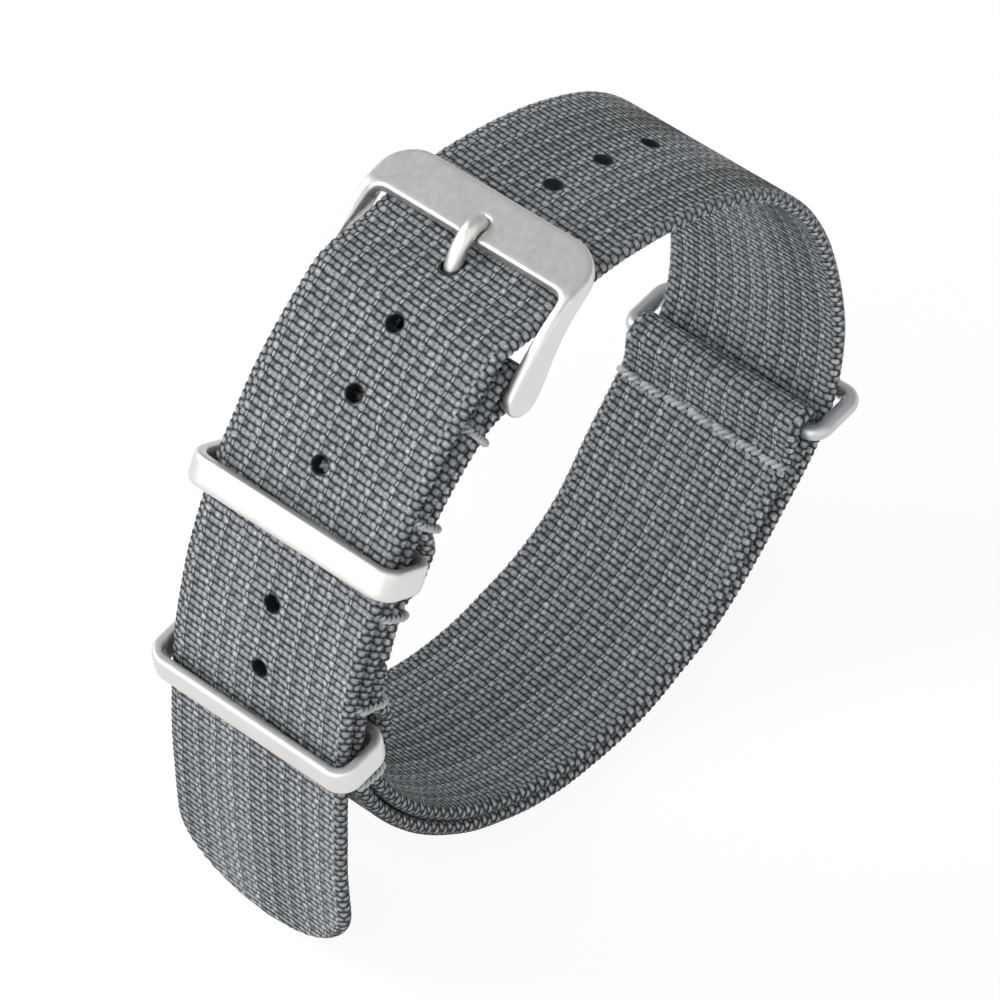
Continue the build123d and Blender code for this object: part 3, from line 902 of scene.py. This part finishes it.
def knuckle_punch():
    """Both end rings of the round slot in the fold, in mm."""
    reach = FOLD_RADIUS + HALF_WEB + SLOT_PAST
    for side in (-1, 1):
        for a in PUNCH_TURNS:
            yield bar_axis[0] + cos(a) * reach, side * KNUCKLE_SLOT_HALF, bar_axis[1] + sin(a) * reach


def tube_faces(first):
    """The faces of a closed tube, whose two rings of corners start at first."""
    ring = [first + k for k in range(CORNERS)]
    sides = [(a, a + CORNERS, b + CORNERS, b) for a, b in zip(ring, ring[1:] + ring[:1])]
    return [ring, [a + CORNERS for a in reversed(ring)], *sides]


def punch_row():
    """All punches as one piece, with its faces turned outward."""
    tubes = [hole_punch(number) for number in range(-HOLES_TO_LOOP, HOLES_TO_TIP + 1)]
    points = [point for tube in (*tubes, knuckle_punch()) for point in tube]
    faces = [face for first in range(0, len(points), 2 * CORNERS) for face in tube_faces(first)]
    punches = new_piece("punches", [Vector(point) * MM for point in points], faces)
    bpy.context.view_layer.objects.active = punches
    bpy.ops.object.select_all(action="DESELECT")
    punches.select_set(True)
    bpy.ops.object.mode_set(mode="EDIT")
    bpy.ops.mesh.select_all(action="SELECT")
    bpy.ops.mesh.normals_make_consistent(inside=False)
    bpy.ops.object.mode_set(mode="OBJECT")
    return punches


# %% [markdown]
# A hot punch leaves the hole's wall darker, lumpy and a little shiny, and its near-black colour here
# is painted shade for the hole's inside. The punches carry that finish, and the boolean that cuts the
# holes hands it over to the walls.

# %% Punching
melted_nylon_and_painted_shade, tree, shader = finish("melted_nylon_and_painted_shade", Specular_IOR_Level=0.3)
lumps = mottle(tree, add(tree, "ShaderNodeTexCoord").outputs["Object"], 4000.0, 3.0)
# Near-black colour: melted nylon, with painted shade for the inside of the hole.
tree.links.new(tint(tree, lumps, [(0.3, (0.006, 0.006, 0.007)), (0.7, (0.02, 0.021, 0.022))]),
               shader.inputs["Base Color"])
tree.links.new(spread(tree, lumps, 0.3, 0.7, 0.5, 0.8), shader.inputs["Roughness"])
bumped(tree, shader, lumps, 0.05 * MM)


def apply_modifiers(piece):
    """Work the piece's modifiers into its mesh."""
    graph = bpy.context.evaluated_depsgraph_get()
    mesh = bpy.data.meshes.new_from_object(
        piece.evaluated_get(graph), preserve_all_data_layers=True, depsgraph=graph
    )
    piece.modifiers.clear()
    piece.data = mesh


punches = punch_row()
punches.data.materials.append(melted_nylon_and_painted_shade)
cut = main_strap.modifiers.new("punch", "BOOLEAN")
cut.object = punches
cut.operation = "DIFFERENCE"
cut.solver = "EXACT"
cut.material_mode = "TRANSFER"
apply_modifiers(main_strap)
bpy.data.objects.remove(punches)
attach(main_strap, "strap")
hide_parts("main_strap")
print("main strap after punching:", len(main_strap.data.polygons), "faces,",
      [material.name for material in main_strap.data.materials])

# %% [markdown]
# ## The short strap
# It is a second piece of the same webbing. It carries on from the folded end on the wrist's side,
# goes round the ring and is sewn down.

# %% Short strap
short_strap = weave_cloth("short_strap_cloth", short_course)
short_strap.data.materials.append(grey_webbing)
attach(short_strap, "strap")
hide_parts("short_strap")

# %% [markdown]
# ## Thread
# The seams are sewn with a pale two-ply thread. Two thin strands wound round each other look like
# thread from any side, so each stitch is a short path with two strands coiled along it.

# %% Two-ply thread
PLY_RADIUS, PLY_AWAY, PLY_TURN = 0.26, 0.20, 1.4
PLY_SIDES, THREAD_STEP = 6, 0.05
NEARLY_UP = (0.13, 0.2, 0.97)


def twisted_thread(path, thick, start_turn):
    """Points and faces of two strands wound round a path, in mm."""
    marks = run_lengths(path[:, None])[:, 0]
    count = max(12, round(marks[-1] / THREAD_STEP))
    evenly = np.linspace(0, marks[-1], count)
    line = np.column_stack([np.interp(evenly, marks, column) for column in path.T])
    along = np.gradient(line, axis=0)
    along /= np.linalg.norm(along, axis=1)[:, None]
    side = np.cross(along, NEARLY_UP)
    side /= np.linalg.norm(side, axis=1)[:, None]
    lift = np.cross(side, along)
    points, faces = [], []
    for ply in (0, 1):
        turn = (evenly / PLY_TURN / thick * 2 * pi + ply * pi + start_turn)[:, None]
        middle = line + (np.cos(turn) * side + np.sin(turn) * lift) * PLY_AWAY * thick
        first = ply * PLY_SIDES * count
        for a in np.arange(PLY_SIDES) * 2 * pi / PLY_SIDES:
            points.append(middle + (cos(a) * side + sin(a) * lift) * PLY_RADIUS * thick)
        for k in range(PLY_SIDES):
            for i in range(count - 1):
                a, b = first + k * count + i, first + (k + 1) % PLY_SIDES * count + i
                faces.append((a, b, b + 1, a + 1))
    return np.vstack(points), faces


def sewn(name, paths, node):
    """All threads of one seam, as one piece. Each path comes with its thread's thickness."""
    points, faces = [], []
    for path, thick in paths:
        some, more = twisted_thread(path, thick, dice.uniform(0, 2 * pi))
        first = sum(map(len, points))
        points.append(some * MM)
        faces += [tuple(first + k for k in face) for face in more]
    piece = new_piece(name, np.vstack(points), faces)
    piece.data.shade_smooth()
    piece.data.materials.append(pale_thread)
    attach(piece, "strap")
    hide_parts(node)


# %% [markdown]
# The thread is a paler grey than the webbing. Fine fibres run along it, and it is a little soiled.

# %% Thread's finish
THREAD_COLOURS = [(0.3, (0.26, 0.275, 0.285)), (0.7, (0.62, 0.64, 0.65))]

pale_thread, tree, shader = finish("pale_thread", Specular_IOR_Level=0.4)
place = add(tree, "ShaderNodeTexCoord").outputs["Object"]
fibre = mottle(tree, place, 9000.0, 3.0, 0.7)
soil = times(tree, mottle(tree, place, 900.0), 0.3)
tone = maths(tree, "MULTIPLY_ADD", fibre, 0.7, soil)
tree.links.new(tint(tree, tone, THREAD_COLOURS), shader.inputs["Base Color"])
tree.links.new(spread(tree, fibre, 0.3, 0.7, 0.5, 0.8), shader.inputs["Roughness"])
bumped(tree, shader, fibre, 0.03 * MM)

# %% [markdown]
# ## Rows of stitches
# Each seam goes through both sewn layers, shows as seven stitches on each face, and wraps round
# both edges in a small loop; the ring's seam shows its seven stitches on one face only. A stitch
# dips into the cloth at each end. Hand wander keeps them from looking printed.

# %% Seams
STITCH_COUNT, STITCH_HALF = 7, 1.15
STITCH_DIP, STITCH_RISE = 0.3, 0.68
ROW_THREAD, LOOP_THREAD = 1.0, 0.8
BUCKLE_SEAM, KEEPER_SEAM, RING_SEAM = 4.9, 4.4, 4.5


def stitch_paths(aside_at, place, side):
    """Seven short threads on one face of a layer."""
    near = np.array([place - 0.3, place, place + 0.3])
    spots = loop.beside(near, aside_at(near) + side * HALF_WEB)
    along = (spots[2] - spots[0]) / np.linalg.norm(spots[2] - spots[0])
    out = np.array([along[1], -along[0]]) * side
    share = np.linspace(-1, 1, 15)
    for number in range(STITCH_COUNT):
        middle = (number - (STITCH_COUNT - 1) / 2) * STRAP_WIDTH / STITCH_COUNT
        lift = -STITCH_DIP + STITCH_RISE * (1 - np.abs(share) ** 3)
        lean = dice.normal(0, 0.1) + dice.normal(0, 0.12) * share
        flat = spots[1] + out * lift[:, None] + along * lean[:, None]
        y = middle + share * STITCH_HALF + dice.normal(0, 0.06)
        yield np.column_stack([flat[:, 0], y, flat[:, 1]]), ROW_THREAD


def edge_loop_path(place, edge):
    """A thread round the edges of both sewn layers."""
    top, bottom = HALF_WEB + 0.1, -LAYER_STEP - HALF_WEB - 0.1
    stands = [(8.9, top - 0.15), (9.5, top + 0.1), (9.95, top), (10.25 + dice.normal(0, 0.06), -0.4),
              (10.3, bottom / 2 - 0.5), (10.0, bottom), (9.5, bottom - 0.1), (8.9, bottom + 0.15)]
    line = smooth_line(stands, 60)
    out, spot = loop.outward([place])[0], loop.beside(place)[0]
    along = loop.heading([place])[0]
    lean = np.linspace(-0.2, 0.2, len(line))[:, None] * dice.uniform(0.4, 1.4)
    flat = spot + out * line[:, 1:] + along * lean
    return np.column_stack([flat[:, 0], line[:, 0] * edge, flat[:, 1]]), LOOP_THREAD


seams = {"buckle_fold_stitches": BUCKLE_SEAM}
for name, (place, _) in KEEPER_PLACES.items():
    seams[name + "_upper_stitches"] = place - KEEPER_SEAM
    seams[name + "_lower_stitches"] = place + KEEPER_SEAM
for node, place in seams.items():
    paths = list(stitch_paths(lambda places: 0 * places, place, 1))
    paths += stitch_paths(inner_layer_aside, place, -1)
    paths += [edge_loop_path(place, edge) for edge in (-1, 1)]
    sewn(node + "_thread", paths, node)
ring_row = stitch_paths(short_strap_aside, RING_PLACE - RING_SEAM, -1)
sewn("ring_fold_stitches_thread", ring_row, "ring_fold_stitches")
print("seams:", seams)

# %% [markdown]
# ## Satin steel
# The buckle and keepers are matt from fine blasting: a grain far too small to see one by one, which
# spreads each reflection. Their edges are rubbed a little brighter. The ring's wire is a cooler,
# plainer steel.

# %% Steel finishes
def steel_finish(name, colour, roughness):
    """Blasted steel with rubbed edges."""
    steel, tree, shader = finish(name, Metallic=1.0)
    place = add(tree, "ShaderNodeTexCoord").outputs["Object"]
    grain = mottle(tree, place, 9000.0, 2.0, 0.6)
    cloud = mottle(tree, place, 260.0, 3.0)
    scuff = mottle(tree, place, 1500.0, 4.0, 0.7)
    bumped(tree, shader, grain, 0.006 * MM)
    worn = spread(tree, add(tree, "ShaderNodeNewGeometry").outputs["Pointiness"], 0.52, 0.60)
    dull = (*[c * 0.93 for c in colour], 1)
    bright = (*[min(c * 1.08, 1) for c in colour], 1)
    shade = blend(tree, cloud, dull, bright)
    edged = blend(tree, times(tree, worn, 0.5), shade, bright)
    tree.links.new(edged, shader.inputs["Base Color"])
    rough = spread(tree, scuff, 0.3, 0.7, roughness - 0.04, roughness + 0.05)
    rough = maths(tree, "SUBTRACT", rough, times(tree, worn, 0.08))
    tree.links.new(rough, shader.inputs["Roughness"])
    return steel


satin_steel = steel_finish("satin_steel", (0.72, 0.715, 0.70), 0.42)
ring_steel = steel_finish("ring_steel", (0.56, 0.575, 0.59), 0.40)


def dress(piece, material):
    """Give a piece one finish all over."""
    piece.data.materials.clear()
    piece.data.materials.append(material)


for node in ("buckle_bar", "buckle_tongue"):
    dress(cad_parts[node], satin_steel)
dress(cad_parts["end_ring"], ring_steel)

# %% [markdown]
# ## The buckle's frame
# It is pressed and tumbled steel: no edge on it is sharp. A bevel modifier needs clean edges to
# work along, and the arms meet the plate in curves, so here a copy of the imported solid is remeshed
# finely and then smoothed many times over, which wears its edges as tumbling does.

# %% Buckle frame, tumbled
TUMBLE_VOXEL, TUMBLE_ROUNDS = 0.09, 110


def tumbled(node, name):
    """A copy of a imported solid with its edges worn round."""
    piece = bpy.data.objects.new(name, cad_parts[node].data.copy())
    bpy.context.scene.collection.objects.link(piece)
    fine = piece.modifiers.new("fine_mesh", "REMESH")
    fine.mode = "VOXEL"
    fine.voxel_size = TUMBLE_VOXEL * MM
    rub = piece.modifiers.new("tumble", "SMOOTH")
    rub.factor = 0.5
    rub.iterations = TUMBLE_ROUNDS
    apply_modifiers(piece)
    piece.data.shade_smooth()
    print(f"{name}: {len(piece.data.polygons)} faces")
    return piece


buckle_frame = tumbled("buckle_frame", "buckle_frame_steel")
dress(buckle_frame, satin_steel)
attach(buckle_frame, "buckle")
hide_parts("buckle_frame")

# %% [markdown]
# ## The keepers
# Each keeper is a flat bar bent into a rectangle, with soft edges. A rounded section is carried
# round a rounded rectangle, which keeps the softness the same everywhere.

# %% Keepers
KEEPER_CORNER, CORNER_STEPS = 2.1, 14
CROWN, SIDE_CROWN = 0.62, 0.45


def rounded_rectangle(width, height, corner, steps):
    """Points and outward directions round a rectangle with round corners."""
    points, ways = [], []
    for quarter in range(4):
        cx = (width / 2 - corner) * (1 if quarter in (0, 3) else -1)
        cy = (height / 2 - corner) * (1 if quarter < 2 else -1)
        for a in np.linspace(0, pi / 2, steps) + quarter * pi / 2:
            ways.append((cos(a), sin(a)))
            points.append((cx + corner * cos(a), cy + corner * sin(a)))
    return np.array(points), np.array(ways)


def crowned_bar(half_thickness, half_width):
    """A flat bar's section with softly crowned faces."""
    turns = np.arange(40) * pi / 20
    thick = np.sign(np.cos(turns)) * np.abs(np.cos(turns)) ** CROWN * half_thickness
    wide = np.sign(np.sin(turns)) * np.abs(np.sin(turns)) ** SIDE_CROWN * half_width
    return np.column_stack([thick, wide])


def keeper_steel(name, place, tilt):
    """One keeper at its place along the loop, rocked by its tilt in degrees."""
    span = KEEPER_THICKNESS + KEEPER_INNER_GAP + WEBBING + TAIL_STEP + KEEPER_OUTER_GAP
    width = 2 * (HALF_WIDTH + KEEPER_SIDE_GAP) + KEEPER_THICKNESS
    corner = KEEPER_CORNER - KEEPER_THICKNESS / 2
    path, ways = rounded_rectangle(width, span, corner, CORNER_STEPS)
    section = crowned_bar(KEEPER_THICKNESS / 2, KEEPER_WIDTH / 2)
    spot = loop.beside(place, KEEPER_BAR_ASIDE)[0]
    along, out = loop.heading([place])[0], loop.outward([place])[0]
    turned_along = along * cos(radians(tilt)) - out * sin(radians(tilt))
    turned_out = along * sin(radians(tilt)) + out * cos(radians(tilt))
    points = []
    for (y, up), (way_y, way_up) in zip(path, ways):
        for thick, wide in section:
            flat = turned_out * (up + span / 2 + way_up * thick) + turned_along * wide + spot
            points.append((flat[0] * MM, -(y + way_y * thick) * MM, flat[1] * MM))
    around, count = len(path), len(section)
    faces = [
        (i * count + j, i * count + (j + 1) % count,
         (i + 1) % around * count + (j + 1) % count, (i + 1) % around * count + j)
        for i in range(around) for j in range(count)
    ]
    keeper = new_piece(name, points, faces)
    keeper.data.shade_smooth()
    return keeper


for name, (place, tilt) in KEEPER_PLACES.items():
    piece = keeper_steel(name + "_steel", place, tilt)
    dress(piece, satin_steel)
    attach(piece, name)
    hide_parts(name)
